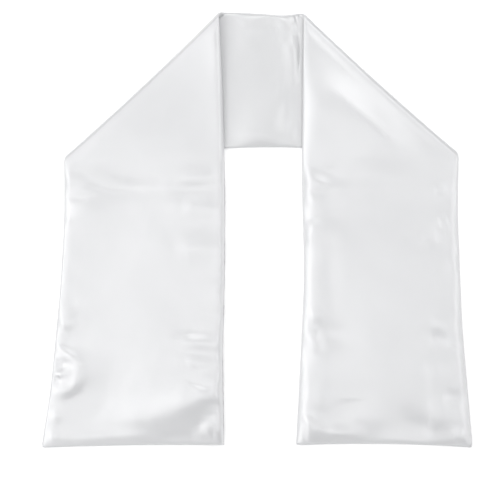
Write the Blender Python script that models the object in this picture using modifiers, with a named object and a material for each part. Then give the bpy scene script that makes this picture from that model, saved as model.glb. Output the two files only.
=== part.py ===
"""Infant's baptismal stole in plain satin, laid flat on a table.

The stole is a flat tube: a face and a lining of one cut, sewn round the edge and turned right side out. Its middle
is the neck band, which lies across the top with the lining up. At each shoulder the band is folded over along a
diagonal, so that its two ends lie on the neck band and run straight down with the face up.

Every ply is a thin wall behind the surface that shows. Sizes are in millimetres and MM makes them metres. +Z is
up, +Y runs from the hems to the neck, and the origin is on the table under the middle of the outline.
"""

import math
from collections import namedtuple

import bmesh
import bpy
from mathutils import Vector

MM = 0.001

# One ply of cloth, and the space left where two plies touch.
WALL = 1.0
GAP = 0.3

# The neck band is two plies deep under the ends that lie on it.
LAP_HEIGHT = 2.0 * (WALL + GAP)
LAP_RUN = 22.0
LAP_MARGIN = 1.5

# At a shoulder fold the upper plies stand up a little, so that the cloth turns over in a soft roll.
FOLD_LIFT = 1.6
FOLD_LIFT_RUN = 22.0
TURN_INNER_RADIUS = (GAP + FOLD_LIFT) / 2.0
TURN_DEPTH = TURN_INNER_RADIUS + 2.0 * WALL + GAP
TURN_ROWS = 6

# The hollow between face and lining: its height in the middle and how far it takes to rise from each edge.
END_CROWN = 3.0
END_EDGE_RISE = 14.0
HEM_RISE = 16.0
FOLD_RISE = 24.0
NECK_CROWN = 1.9
NECK_EDGE_RISE = 15.0
NECK_SIDE_MARGIN = 5.0

# Rows along the band and columns across it, in the surface of one ply.
END_ROWS = 42
END_COLUMNS = 16
NECK_ROWS = 28
NECK_COLUMNS = 13

# Sections across the band. Each gives where it meets the inner edge, which is the neck edge of a worn stole, and
# the outer edge, and how far its middle bows from the straight line between them.
Section = namedtuple("Section", "inner_x inner_y outer_x outer_y bow_x bow_y")

# From the hem to the shoulder fold.
LEFT_END = (
    Section(-22.9, -151.0, -151.2, -152.8, 0.0, 0.9),
    Section(-23.8, -90.2, -145.0, -112.0, 0.0, 0.2),
    Section(-22.6, -29.5, -140.8, -71.5, 0.0, 0.0),
    Section(-22.5, 31.2, -137.3, -30.9, 0.0, 0.0),
    Section(-23.8, 91.8, -135.2, 9.7, 0.3, -0.3),
    Section(-26.7, 152.3, -134.9, 51.0, 0.8, -0.9),
)
RIGHT_END = (
    Section(27.2, -151.0, 151.2, -152.8, 0.0, 1.9),
    Section(30.3, -90.4, 147.6, -111.4, 0.0, 0.5),
    Section(32.8, -29.8, 144.1, -70.1, 0.0, 0.0),
    Section(31.4, 30.7, 142.2, -28.8, 0.0, 0.0),
    Section(31.7, 91.3, 140.7, 12.5, -0.3, -0.3),
    Section(32.4, 151.8, 140.9, 53.8, -0.8, -0.9),
)
# From the left shoulder fold to the right one. The inner edge is the upper one here.
NECK = (
    Section(-26.7, 152.3, -134.9, 51.0, 0.8, -0.9),
    Section(-12.0, 152.1, -66.0, 54.9, 0.0, 0.0),
    Section(2.7, 151.4, 2.7, 57.7, 0.0, 0.0),
    Section(17.4, 150.4, 71.9, 56.3, 0.0, 0.0),
    Section(32.4, 151.8, 140.9, 53.8, -0.8, -0.9),
)

# Large soft folds of the cloth that shows: a line, the reach to each side of it, and the rise or, below zero, the
# dip at full fullness.
Fold = namedtuple("Fold", "x1 y1 x2 y2 reach rise")

LEFT_FOLDS = (
    Fold(-143.0, -119.0, -111.0, -99.0, 8.0, -2.0),
    Fold(-140.0, -108.0, -116.0, -94.0, 6.0, 1.0),
    Fold(-141.0, -80.0, -118.0, -72.0, 8.0, -1.0),
    Fold(-80.0, -131.0, -38.0, -112.0, 9.0, 1.1),
    Fold(-88.0, -139.0, -30.0, -130.0, 8.0, -1.4),
    Fold(-120.0, 40.0, -75.0, 32.0, 7.0, -0.9),
    Fold(-75.0, 32.0, -30.0, 34.0, 6.0, -0.8),
    Fold(-98.0, 58.0, -62.0, 88.0, 12.0, -0.8),
    Fold(-50.0, 20.0, -50.0, 130.0, 12.0, 0.5),
)
RIGHT_FOLDS = (
    Fold(58.0, 118.0, 104.0, 72.0, 11.0, 1.5),
    Fold(48.0, 112.0, 48.0, 52.0, 12.0, -1.1),
    Fold(36.0, 33.0, 62.0, 29.0, 6.0, -1.0),
    Fold(62.0, 29.0, 130.0, 31.0, 6.0, -0.6),
    Fold(54.0, -139.0, 84.0, -145.0, 7.0, 1.0),
    Fold(92.0, -128.0, 128.0, -132.0, 11.0, -0.9),
    Fold(36.0, -70.0, 48.0, -105.0, 9.0, -0.8),
)
NECK_FOLDS = (
    Fold(-2.0, 146.0, 13.0, 146.0, 6.0, 0.7),
    Fold(13.0, 146.0, 27.0, 120.0, 5.0, 1.0),
    Fold(0.0, 66.0, 1.0, 92.0, 12.0, 0.8),
    Fold(-14.0, 60.0, -14.0, 145.0, 7.0, -0.9),
    Fold(22.0, 66.0, 20.0, 96.0, 8.0, -0.6),
)

SATIN_WHITE = (0.86, 0.87, 0.89, 1.0)
FACE_ROUGHNESS = 0.32
LINING_ROUGHNESS = 0.38


def smoothstep(x):
    """Ease from 0 to 1, level at both ends."""
    x = min(max(x, 0.0), 1.0)
    return x * x * (3.0 - 2.0 * x)


def ease_out(x):
    """Rise steeply from 0 and level off at 1, as the side of a filled tube does."""
    x = min(max(x, 0.0), 1.0)
    return 1.0 - (1.0 - x) ** 2


def section_at(sections, place):
    """The section at a place from 0, the first row, to 1, the last, on a smooth curve through the rows."""
    rows = [[2.0 * a - b for a, b in zip(sections[0], sections[1])]]
    rows += list(sections)
    rows += [[2.0 * a - b for a, b in zip(sections[-1], sections[-2])]]
    steps = len(sections) - 1
    first = min(int(place * steps), steps - 1)
    t = place * steps - first
    smooth = (
        0.5 * (2.0 * b + (c - a) * t + (2.0 * a - 5.0 * b + 4.0 * c - d) * t**2 + (3.0 * (b - c) + d - a) * t**3)
        for a, b, c, d in zip(*rows[first : first + 4])
    )
    return Section(*smooth)


def inner_point(sections, place):
    section = section_at(sections, place)
    return Vector((section.inner_x, section.inner_y))


def outer_point(sections, place):
    section = section_at(sections, place)
    return Vector((section.outer_x, section.outer_y))


class ShoulderFold:
    """The diagonal line that an end is folded over on."""

    def __init__(self, end):
        fold = end[-1]
        self.start = Vector((fold.inner_x, fold.inner_y))
        line = Vector((fold.outer_x, fold.outer_y)) - self.start
        self.length = line.length
        self.along = line.normalized()
        self.inward = Vector((-self.along.y, self.along.x))
        if self.inward.y > 0.0:
            self.inward.negate()
        self.bow = Vector((fold.bow_x, fold.bow_y))

    def position(self, point):
        """How far a point lies along the fold and inside it."""
        offset = point - self.start
        return offset.dot(self.along), offset.dot(self.inward)

    def depth(self, point):
        """Distance inside the fold, with its bow."""
        along, inside = self.position(point)
        share = min(max(along / self.length, 0.0), 1.0)
        return inside - self.bow.length * 4.0 * share * (1.0 - share)

    def point(self, along, inside):
        return self.start + self.along * along + self.inward * inside


def place_at_depth(edge_point, sections, fold, depth, fold_end):
    """Where an edge of the band is this far inside the fold, which is at the last section or the first one."""
    near, far = (1.0, 0.5) if fold_end else (0.0, 0.5)
    for _ in range(30):
        middle = (near + far) / 2.0
        if fold.position(edge_point(sections, middle))[1] < depth:
            near = middle
        else:
            far = middle
    return near


class Stretch:
    """A flat stretch of the band, between two sections that may slant."""

    def __init__(self, sections, inner_span, outer_span):
        self.sections = sections
        self.inner_span = inner_span
        self.outer_span = outer_span

    def point(self, along, across):
        """The plan point at a share of the length and of the width from the inner edge."""
        inner_place = self.inner_span[0] + (self.inner_span[1] - self.inner_span[0]) * along
        outer_place = self.outer_span[0] + (self.outer_span[1] - self.outer_span[0]) * along
        inner = inner_point(self.sections, inner_place)
        outer = outer_point(self.sections, outer_place)
        shape = section_at(self.sections, along)
        bow = Vector((shape.bow_x, shape.bow_y)) * 4.0 * across * (1.0 - across)
        return inner.lerp(outer, across) + bow


def neck_lower_edge(x):
    """Y of the neck band's lower edge at this x."""
    for left, right in zip(NECK, NECK[1:]):
        if x <= right.outer_x:
            break
    share = (x - left.outer_x) / (right.outer_x - left.outer_x)
    return left.outer_y + (right.outer_y - left.outer_y) * share


def neck_upper_edge(x):
    """Y of the neck band's upper edge at this x."""
    for left, right in zip(NECK, NECK[1:]):
        if x <= right.inner_x:
            break
    share = (x - left.inner_x) / (right.inner_x - left.inner_x)
    return left.inner_y + (right.inner_y - left.inner_y) * share


def relief(folds, point):
    """What the soft folds add to the height of the cloth at a plan point."""
    total = 0.0
    for fold in folds:
        start = Vector((fold.x1, fold.y1))
        line = Vector((fold.x2, fold.y2)) - start
        share = min(max((point - start).dot(line) / line.length_squared, 0.0), 1.0)
        distance = (point - start - line * share).length
        total += fold.rise * math.exp(-((distance / fold.reach) ** 2))
    return total


class End:
    """One hanging end of the stole, from its hem to round its shoulder fold."""

    def __init__(self, sections, folds):
        self.folds = folds
        self.fold = ShoulderFold(sections)
        inner_last = place_at_depth(inner_point, sections, self.fold, TURN_DEPTH, True)
        outer_last = place_at_depth(outer_point, sections, self.fold, TURN_DEPTH, True)
        self.flat = Stretch(sections, (0.0, inner_last), (0.0, outer_last))
        self.hem_y = sections[0].inner_y
        self.width = abs(sections[2].outer_x - sections[2].inner_x)

    def lining_height(self, point):
        """Height of the side of the lining that shows: on the table, or on the neck band and up at the fold."""
        below_neck = neck_lower_edge(point.x) - LAP_MARGIN - point.y
        lap = LAP_HEIGHT * (1.0 - smoothstep(below_neck / LAP_RUN))
        lift = FOLD_LIFT * (1.0 - smoothstep((self.fold.depth(point) - TURN_DEPTH) / FOLD_LIFT_RUN))
        return lap + lift

    def fullness(self, point, across):
        """0 where face and lining are sewn together or pressed, and 1 where they stand fully apart."""
        sides = ease_out(across * self.width / END_EDGE_RISE)
        sides *= ease_out((1.0 - across) * self.width / END_EDGE_RISE)
        hem = ease_out((point.y - self.hem_y + WALL) / HEM_RISE)
        shoulder = smoothstep((self.fold.depth(point) - TURN_DEPTH) / FOLD_RISE)
        return sides * hem * shoulder

    def face_height(self, point, across):
        """Height of the side of the face that shows."""
        hollow = self.fullness(point, across) * (END_CROWN + relief(self.folds, point))
        return self.lining_height(point) + 2.0 * WALL + GAP + hollow

    def flat_point(self, along, across, is_face):
        point = self.flat.point(along, across)
        height = self.face_height(point, across) if is_face else self.lining_height(point)
        return Vector((point.x, point.y, height))

    def turn_point(self, angle, across, is_face):
        """A point on the roll of the fold, from the end's side at angle 0 to the neck band's side at pi."""
        share = angle / math.pi
        upper = self.flat.point(1.0, across)
        radius = (self.lining_height(upper) - 2.0 * WALL - GAP) / 2.0
        bottom = 2.0 * WALL + GAP
        if is_face:
            radius += 2.0 * WALL + GAP
            bottom = 0.0
        ends = []
        for edge_point in (inner_point, outer_point):
            end_place = place_at_depth(edge_point, self.flat.sections, self.fold, TURN_DEPTH, True)
            neck_place = place_at_depth(edge_point, NECK, self.fold, TURN_DEPTH, self.fold.start.x > 0.0)
            end_along = self.fold.position(edge_point(self.flat.sections, end_place))[0]
            neck_along = self.fold.position(edge_point(NECK, neck_place))[0]
            ends.append(end_along + (neck_along - end_along) * share)
        along = ends[0] + (ends[1] - ends[0]) * across
        inside = TURN_DEPTH - radius * math.sin(angle)
        plan = self.fold.point(along, inside) + self.fold.bow * 4.0 * across * (1.0 - across)
        return Vector((plan.x, plan.y, bottom + radius * (1.0 + math.cos(angle))))


class Neck:
    """The neck band, between the two shoulder folds and under the ends."""

    def __init__(self, left, right):
        first = [
            place_at_depth(edge, NECK, left.fold, TURN_DEPTH + GAP, False) for edge in (inner_point, outer_point)
        ]
        last = [
            place_at_depth(edge, NECK, right.fold, TURN_DEPTH + GAP, True) for edge in (inner_point, outer_point)
        ]
        self.flat = Stretch(NECK, (first[0], last[0]), (first[1], last[1]))
        self.left_x = LEFT_END[3].inner_x + NECK_SIDE_MARGIN
        self.right_x = RIGHT_END[3].inner_x - NECK_SIDE_MARGIN

    def fullness(self, point):
        """0 at the sewn edges and under the ends, and 1 where the lining stands fully off the face."""
        sides = smoothstep((point.x - self.left_x) / NECK_EDGE_RISE)
        sides *= smoothstep((self.right_x - point.x) / NECK_EDGE_RISE)
        edges = ease_out((neck_upper_edge(point.x) - point.y) / NECK_EDGE_RISE)
        edges *= ease_out((point.y - neck_lower_edge(point.x)) / NECK_EDGE_RISE)
        return sides * edges

    def flat_point(self, along, across, is_face):
        point = self.flat.point(along, across)
        if is_face:
            return Vector((point.x, point.y, 0.0))
        hollow = self.fullness(point) * (NECK_CROWN + relief(NECK_FOLDS, point))
        return Vector((point.x, point.y, 2.0 * WALL + GAP + hollow))


def satin(name, roughness):
    """Plain white satin."""
    material = bpy.data.materials.new(name)
    material.use_nodes = True
    shader = material.node_tree.nodes["Principled BSDF"]
    shader.inputs["Base Color"].default_value = SATIN_WHITE
    shader.inputs["Roughness"].default_value = roughness
    shader.inputs["Metallic"].default_value = 0.0
    return material


def across_share(share):
    """Columns stand closer together near both edges of the band, where its surface curves most."""
    return 0.5 - 0.5 * math.cos(math.pi * share)


def along_share(share):
    """Rows stand a little closer together near both ends of a stretch."""
    return share - math.sin(2.0 * math.pi * share) / 16.0


def ply(collection, name, rows, columns, surface_point, shows_up, roughness):
    """A wall of cloth behind a surface that is given by its share of the rows and columns."""
    mesh = bpy.data.meshes.new(name)
    grid = bmesh.new()
    bmesh.ops.create_grid(grid, x_segments=rows, y_segments=columns, size=0.5)
    for vertex in grid.verts:
        row = (vertex.co.x + 0.5) * rows
        across = across_share(vertex.co.y + 0.5)
        vertex.co = surface_point(row, across) * MM
    grid.normal_update()
    upward = sum(face.normal.z * face.calc_area() for face in grid.faces)
    if (upward > 0.0) != shows_up:
        bmesh.ops.reverse_faces(grid, faces=grid.faces)
    grid.to_mesh(mesh)
    grid.free()
    mesh.shade_smooth()
    mesh.materials.append(satin(name + "_satin", roughness))
    piece = bpy.data.objects.new(name, mesh)
    collection.objects.link(piece)
    wall = piece.modifiers.new("wall", "SOLIDIFY")
    wall.thickness = WALL * MM
    wall.offset = -1.0
    wall.use_even_offset = True
    return piece


def end_pieces(collection, side, end):
    """The face and the lining of one end, each with its part of the shoulder fold's roll."""

    def surface(is_face):
        def surface_point(row, across):
            if row <= END_ROWS:
                return end.flat_point(along_share(row / END_ROWS), across, is_face)
            return end.turn_point(math.pi * (row - END_ROWS) / TURN_ROWS, across, is_face)

        return surface_point

    rows = END_ROWS + TURN_ROWS
    ply(collection, side + "_arm_face", rows, END_COLUMNS, surface(True), True, FACE_ROUGHNESS)
    ply(collection, side + "_arm_lining", rows, END_COLUMNS, surface(False), False, LINING_ROUGHNESS)


def neck_pieces(collection, neck):
    """The face of the neck band, down on the table, and its lining, which shows between the ends."""

    def surface(is_face):
        return lambda row, across: neck.flat_point(along_share(row / NECK_ROWS), across, is_face)

    ply(collection, "neck_face", NECK_ROWS, NECK_COLUMNS, surface(True), False, FACE_ROUGHNESS)
    ply(collection, "neck_lining", NECK_ROWS, NECK_COLUMNS, surface(False), True, LINING_ROUGHNESS)


def main():
    for item in list(bpy.data.objects):
        bpy.data.objects.remove(item, do_unlink=True)
    collection = bpy.data.collections.new("baptismal_stole")
    bpy.context.scene.collection.children.link(collection)
    left = End(LEFT_END, LEFT_FOLDS)
    right = End(RIGHT_END, RIGHT_FOLDS)
    end_pieces(collection, "left", left)
    end_pieces(collection, "right", right)
    neck_pieces(collection, Neck(left, right))


main()
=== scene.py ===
"""Looks of an infant's baptismal stole in white satin, laid flat.

The stole is a lined band. Its middle lies across the top with the lining up. Each end is folded over at a
shoulder and hangs down with its face up. Each stretch of each ply is a thin shell. Its form comes from
sections across the band, its fullness between the seams, and listed swells and creases. Sizes are in
millimetres unless a name, a comment or a property says otherwise, and MM makes them metres.
"""

import math
from collections import namedtuple

import bpy
import numpy as np
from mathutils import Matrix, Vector


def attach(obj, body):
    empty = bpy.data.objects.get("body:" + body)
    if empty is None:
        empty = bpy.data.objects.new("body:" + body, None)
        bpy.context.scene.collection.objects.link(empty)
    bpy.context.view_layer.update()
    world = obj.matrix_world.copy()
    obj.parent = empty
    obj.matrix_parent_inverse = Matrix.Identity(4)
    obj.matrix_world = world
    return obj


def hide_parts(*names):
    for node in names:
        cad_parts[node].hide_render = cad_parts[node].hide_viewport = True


bl_info = {
    "name": "Baptismal Stole",
    "version": (1, 0, 0),
    "blender": (4, 5, 0),
    "location": "3D View > Sidebar > Stole",
    "description": "Builds a lined satin stole that lies flat, with its folds, seams and studio",
    "category": "Object",
}

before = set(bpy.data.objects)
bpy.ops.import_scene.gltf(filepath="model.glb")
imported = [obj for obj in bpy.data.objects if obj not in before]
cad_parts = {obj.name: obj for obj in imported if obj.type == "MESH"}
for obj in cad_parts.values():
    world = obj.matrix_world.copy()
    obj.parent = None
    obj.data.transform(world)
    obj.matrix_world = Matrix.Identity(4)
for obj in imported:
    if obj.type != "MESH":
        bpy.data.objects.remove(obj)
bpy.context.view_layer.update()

MM = 0.001

# The envelope of the seam: two plies with their seam allowances between them.
SEAM_HEIGHT = 2.3
LAP_HEIGHT = 2.6


def table(kind, *rows):
    """Rows of numbers as named tuples of one kind."""
    return tuple(kind(*row) for row in rows)


# Sections across the band: where each meets the inner and the outer edge, and how far its middle bows.
Section = namedtuple("Section", "inner_x inner_y outer_x outer_y bow_x bow_y")

LEFT_END = table(
    Section,
    (-22.9, -151, -151.2, -152.8, 0, 0.9),
    (-23.8, -90.2, -145, -112, 0, 0.2),
    (-22.6, -29.5, -140.8, -71.5, 0, 0),
    (-22.5, 31.2, -137.3, -30.9, 0, 0),
    (-23.8, 91.8, -135.2, 9.7, 0.3, -0.3),
    (-26.7, 152.3, -134.9, 51, 0.8, -0.9),
)
RIGHT_END = table(
    Section,
    (27.2, -151, 151.2, -152.8, 0, 1.9),
    (30.3, -90.4, 147.6, -111.4, 0, 0.5),
    (32.8, -29.8, 144.1, -70.1, 0, 0),
    (31.4, 30.7, 142.2, -28.8, 0, 0),
    (31.7, 91.3, 140.7, 12.5, -0.3, -0.3),
    (32.4, 151.8, 140.9, 53.8, -0.8, -0.9),
)
NECK = table(
    Section,
    (-26.7, 152.3, -134.9, 51, 0.8, -0.9),
    (-12, 152.1, -66, 54.9, 0, 0),
    (2.7, 151.4, 2.7, 57.7, 0, 0),
    (17.4, 150.4, 71.9, 56.3, 0, 0),
    (32.4, 151.8, 140.9, 53.8, -0.8, -0.9),
)

# Fullness of an end along its inner and outer side and low down, the runs in which the face climbs to it from
# each edge, the puff beside the fold, and the crests beside the side seams.
Pillow = namedtuple(
    "Pillow",
    "inner_full outer_full low_full inner_run outer_run hem_run fold_run fold_puff"
    " inner_crest outer_crest crest_run",
)

LEFT_PILLOW = Pillow(2.2, -0.6, 1.2, 5, 28, 5, 24, 1, 1.5, 0.2, 4)
RIGHT_PILLOW = Pillow(1, 1, 0.5, 16, 12, 6, 24, 4.6, 0.6, 0.4, 10)

# How a shoulder fold springs up: in its middle, at its two ends, and how far in it lies down again.
Spring = namedtuple("Spring", "middle inner outer run")

SPRING_POWER = 1.5
LEFT_SPRING = Spring(1.6, 6.5, 0.6, 100.0)
RIGHT_SPRING = Spring(1.2, 0.4, 0.6, 60.0)

# Broad swells of the face: the middle, the two reaches, the turn of the first in degrees and the rise.
Swell = namedtuple("Swell", "x y reach width turn rise")

LEFT_SWELLS = table(
    Swell,
    (-52, -104, 55, 32, -40, 2.2),
    (-118, -30, 40, 22, 80, -0.5),
    (-134, -97, 26, 13, 34, 1.2),
)
RIGHT_SWELLS = table(
    Swell,
    (82, -104, 58, 28, 90, 1.5),
    (126, -34, 28, 14, 90, -1),
    (122, -78, 16, 12, 0, -1),
    (54, -70, 18, 12, -10, -0.9),
    (58, -122, 18, 14, 0, -0.7),
    (110, -134, 20, 11, 0, -0.5),
    (104, 10, 40, 24, 0, -0.7),
)
NECK_SWELLS = table(
    Swell,
    (-4, 60, 24, 30, 0, 2.1),
    (-8, 134, 9, 8, 0, 1.3),
    (22, 80, 8, 26, 0, -0.5),
)

# Soft creases: a curve through three points, its reach to the left and right of its travel, and its rise.
Crease = namedtuple("Crease", "x1 y1 xm ym x2 y2 left right rise")

LEFT_CREASES = table(
    Crease,
    # Lip of the swell that fills the lower end, and the drop from it to the hem and the inner corner.
    (-34.5, -108, -44, -119, -84, -131.5, 12, 8, 2.3),
    (-30.2, -125.5, -47, -142, -97.4, -142.9, 6, 7, -0.25),
    # Deep diagonal crease from the outer edge, with the pinched ridges above it.
    (-138, -127, -118, -121, -98, -103, 14, 15, -2.1),
    (-145, -112.9, -129.6, -110.8, -124, -94.7, 3.5, 4.5, 1.2),
    (-142.2, -79.6, -133.8, -85.9, -122.6, -93.6, 3, 3.5, 0.92),
    (-143.6, -101.4, -139.4, -101.4, -134.5, -100.7, 2.2, 2.2, 0.53),
    (-142.9, -95, -138, -94.3, -132, -94.6, 3.4, 3.4, -1.61),
    (-143.6, -105.2, -140.1, -105.2, -136.6, -104.5, 3, 3, -1.15),
    (-140.1, -68.1, -133.8, -64.6, -123.4, -63.2, 7, 5, 1.2),
    (-139.4, -77.6, -126.8, -80.4, -107.2, -83.2, 8, 6, -0.7),
    (-133.8, -30.9, -128.2, -31.6, -124, -33, 5, 5, -0.46),
    (-135.2, -49.8, -129.6, -51.1, -124, -51.9, 5, 5, -0.53),
    # Wrinkles where the end comes off the neck band.
    (-112, 46, -118, 18, -113, -10, 18, 12, 0.9),
    (-124.7, 41.9, -98.8, 31, -70.8, 28.9, 4.5, 7, -1.49),
    (-74.8, 28.9, -50, 28.6, -31.6, 30, 4, 6, -0.4),
    (-29, 35.6, -43, 36.1, -62, 34.7, 6.5, 8, 1.3),
    (-138, 35.5, -128.6, 34.8, -116, 34.5, 7, 5, 1.0),
    (-132.4, 27.9, -120.5, 27.9, -108.6, 27.2, 2.6, 2.6, 0.46),
    (-133.8, 23.7, -125.4, 22.3, -115.6, 22.3, 2.6, 2.6, -0.6),
    (-136, 13.5, -123.2, 14.2, -106.4, 14.9, 10, 8, 0.6),
    (-135.2, 5.9, -132.4, 6.7, -128.2, 7.3, 3, 3, 0.4),
    (-135.2, -8.7, -121.2, -10.1, -104.4, -8.7, 8, 8, -0.53),
    # Soft dents beside the inner edge.
    (-29, 15.9, -41.4, 16.6, -54.2, 17.4, 9, 5.5, 1.1),
    (-29, -14.8, -43.4, -12.9, -60.2, -12.9, 13, 7.5, 1.4),
    (-35.8, -70.9, -42.8, -70.9, -49.8, -70.2, 4, 4, -0.46),
    (-29, -79.2, -42.8, -78.5, -57.9, -77.8, 6, 5, 1.15),
    (-29, -93.8, -41.4, -92.4, -52.7, -91, 6, 4.6, 1.0),
    # Hem.
    (-70, -145, -100, -144.6, -134, -145, 4, 5, 1.03),
    (-30.5, -142.5, -35, -143, -41, -144, 4, 4, 0.92),
    (-147, -145, -142, -144.6, -136, -145, 4, 4, 0.8),
    (-145, -134.2, -140.8, -130.7, -138, -127.2, 4.5, 4.5, 0.67),
    (-40, -139.9, -35.1, -137.8, -30.9, -135, 3.5, 3.5, 0.79),
)
RIGHT_CREASES = table(
    Crease,
    # Wrinkles where the end comes off the neck band.
    (32.6, 44, 39.7, 35, 54.8, 31, 4.2, 7.5, 1.03),
    (35.6, 26.8, 45.4, 26.1, 59.4, 26.8, 5.4, 4.8, -0.71),
    (53.8, 30.1, 93, 30.8, 135, 28.7, 4.2, 7.5, 0.6),
    (122.4, 28.6, 128, 28.6, 134.3, 28.3, 3.1, 5.4, 0.78),
    (44, 45.6, 51, 37.2, 62.2, 33, 10.5, 4.2, -0.78),
    # Soft dents beside the inner edge.
    (36.6, 23.7, 40.8, 18.8, 43.6, 12.5, 5.5, 5.5, 0.74),
    (37.8, 8.3, 39.9, 2.7, 40.6, -4.3, 5, 5, 0.7),
    (51, -11.3, 51, -32.3, 52.4, -53.3, 7, 7, -0.91),
    (36.3, -60.8, 41.2, -59.4, 47.5, -57.3, 4.1, 7.2, 0.89),
    (41.2, -69.8, 52.4, -73.9, 66.4, -78.1, 10.5, 6, -0.94),
    (34.8, -72.9, 40.4, -78.5, 43.2, -89.7, 5, 5, 1.46),
    (29, -113, 40, -116, 54, -117, 9, 14, 1.3),
    # Soft dents beside the outer edge.
    (125.9, 4.7, 130.1, 6.1, 134.3, 7.5, 3.6, 6.3, 0.84),
    (123.8, -4.4, 128, -3.7, 132.2, -2.3, 3.4, 6, 0.55),
    (114, -3.7, 121, -6.5, 126.6, -9.3, 8.4, 4.8, -0.5),
    (130.8, -18.3, 135, -35.1, 136.4, -51.9, 7, 7, -0.56),
    (121, -69, 130, -67.5, 141, -66, 7, 13, 0.8),
    (119.6, -70.1, 126.6, -77.1, 132.2, -84.1, 7, 7, -0.91),
    (115, -101.5, 127, -100, 141, -99, 8, 16, 1.2),
    (128.7, -115.9, 136.4, -117.2, 145.5, -118, 6.3, 3.6, -0.84),
    (117, -131, 127, -130, 139, -129, 8, 15, 1.2),
    # Hem.
    (85, -146, 105, -146.4, 128, -146, 4.8, 5.2, 0.65),
    (31.5, -139, 39, -138.6, 49, -140.5, 5.1, 10.5, 1.68),
    (136, -145, 141, -144.6, 147, -145, 3.8, 6.8, 1.09),
    (59.8, -116.3, 61.2, -124.7, 69.6, -134.5, 11, 11, -0.7),
    (49, -141.5, 59, -142.5, 72, -143.5, 4.5, 6, 1.5),
    (94.4, -135, 109.8, -137.8, 125.2, -142, 13.5, 6.8, -1.25),
    (32.6, -135.9, 35.4, -133.1, 37.5, -130.3, 4.2, 4.2, 0.65),
)
NECK_CREASES = table(
    Crease,
    # Curved ridge from the upper edge to the right end.
    (-8, 147, 13, 151, 21.5, 134, 5, 6.5, 2.0),
    (21.5, 134, 25.6, 125, 26.4, 110, 6, 6.5, 1.6),
    # Slack beside the right end.
    (16, 65.7, 21.6, 82.5, 24.4, 96.5, 5, 5, -0.9),
    # Small puckers where the right fold pulls the upper edge.
    (24.7, 151.1, 25.8, 146.9, 27.2, 142.7, 1.3, 1.3, 0.71),
    (28.2, 151.8, 28.9, 147.6, 29.6, 143.4, 1.3, 1.3, 0.71),
)

# Points along a crease, its height at its tips as a share of its rise, and the share of its length in which it
# climbs from there.
CREASE_POINTS = 15
CREASE_END = 0.35
CREASE_TAPER = 0.4

# How far inside a shoulder fold the plies begin to turn, and the steps of the turn.
TURN_DEPTH = 3.4
TURN_STEPS = 16
# Gap between the neck band's plies and the ends' where they meet behind a fold.
FOLD_GAP = 0.05

# Where an end comes down off the neck band: the run, its start off the band's edge, and shares of soft bends.
LAP_RUN = 25.0
LAP_MARGIN = 1.0
UPPER_BEND = 0.22
LOWER_BEND = 0.12
# Share of the step over the neck band that the face spans without coming down, and less of it near the hem.
SPAN_SHARE = 0.8
SPAN_AT_HEM = 0.3
SPAN_RUN = 170.0

# Fullness of an end: its change from side to side, the reach of its low part, and its growth at both ends.
FULL_STRETCH = 1.3
FULL_SHIFT = 0.1
LOW_RUN = 110.0
HEM_SHARE = 0.35
HEM_GROWTH = 22.0
FOLD_SHARE = 0.2
FOLD_GROWTH = 90.0
FOLD_EASE = 26.0
# The puff beside a fold: its lean to the outer side, and how far in it starts to fall and over what run.
PUFF_LEAN = 1.3
PUFF_FLAT = 16.0
PUFF_FALL = 64.0
# Random unevenness: rises and wavelengths.
END_RUMPLES = ((0.2, 42.0), (0.05, 16.0))
NECK_RUMPLE = (0.25, 30.0)
NECK_SEED = 41
RUMPLE_WAVES = 7
RUMPLE_SPREAD = (0.7, 1.6)
RUMPLE_SCALE = 4.0
# Waves along a side seam, which end where the cloth is taut over the neck band.
SEAM_WAVES = 6
SEAM_WAVE_LENGTHS = (12.0, 44.0)
SEAM_WAVE_SCALE = 96.0
TAUT_Y = 60.0
TAUT_RUN = 30.0
# How uneven the runs and the crests beside the side seams are.
RUN_SWING = 0.3
CREST_MEAN = 0.6
CREST_SWING = 0.5
CREST_LIMITS = (0.1, 1.3)
OUTER_CREST_RUN = 4.0
# Runs in which creases fade beside the edges.
SEAM_FADE = 4.5
HEM_FADE = 2.0
FOLD_FADE = 6.0
# Softness of the line where the face comes down on the lining.
CONTACT_SOFTNESS = 0.3
CONTACT_RUN = 6.0

# Fullness of the neck band, and the runs beside its upper, lower, left and right edge in which it rises, and its
# creases.
NECK_FULLNESS = 1.1
NECK_RUNS = (7.0, 12.0, 24.0, 7.0)
NECK_CREASE_RUNS = (2.5, 2.5, 6.0, 3.0)
# X of the two ends' sides over the neck band, at a lower and an upper y.
OPEN_Y = (30.0, 150.0)
OPEN_LEFT = (-21.0, -24.5)
OPEN_RIGHT = (29.9, 30.7)

CORNER_RADIUS = 2.5
# Mean sizes of a hanging end and of the neck band, which the spacing of the grids is worked out from.
MEAN_END_LENGTH = 252.0
MEAN_END_WIDTH = 122.0
NECK_LENGTH = 165.0
NECK_WIDTH = 96.0
# Points round the roll of an edge, the strip beside it that has fine steps, and these steps.
ROLL_POINTS = 6
FINE_STRIP = 8.0
FINE_STEP = 0.75
# Rows and columns beside an edge that its stitches don't follow: the columns are on the wall of the groove.
NOT_SEWN = (1, 2)


def smoothstep(x):
    """Ease from 0 to 1, level at both ends."""
    x = np.clip(x, 0.0, 1.0)
    return x * x * (3.0 - 2.0 * x)


def between(first, last, share):
    """The value at a share of the way from the first to the last."""
    return first + (last - first) * share


def ease_from(low, x):
    """Ease from a share to 1, level at both ends."""
    return between(low, 1.0, smoothstep(x))


def ease_out(x, power=2):
    """Rise steeply from 0 and level off at 1."""
    return 1.0 - (1.0 - np.clip(x, 0.0, 1.0)) ** power


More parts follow.
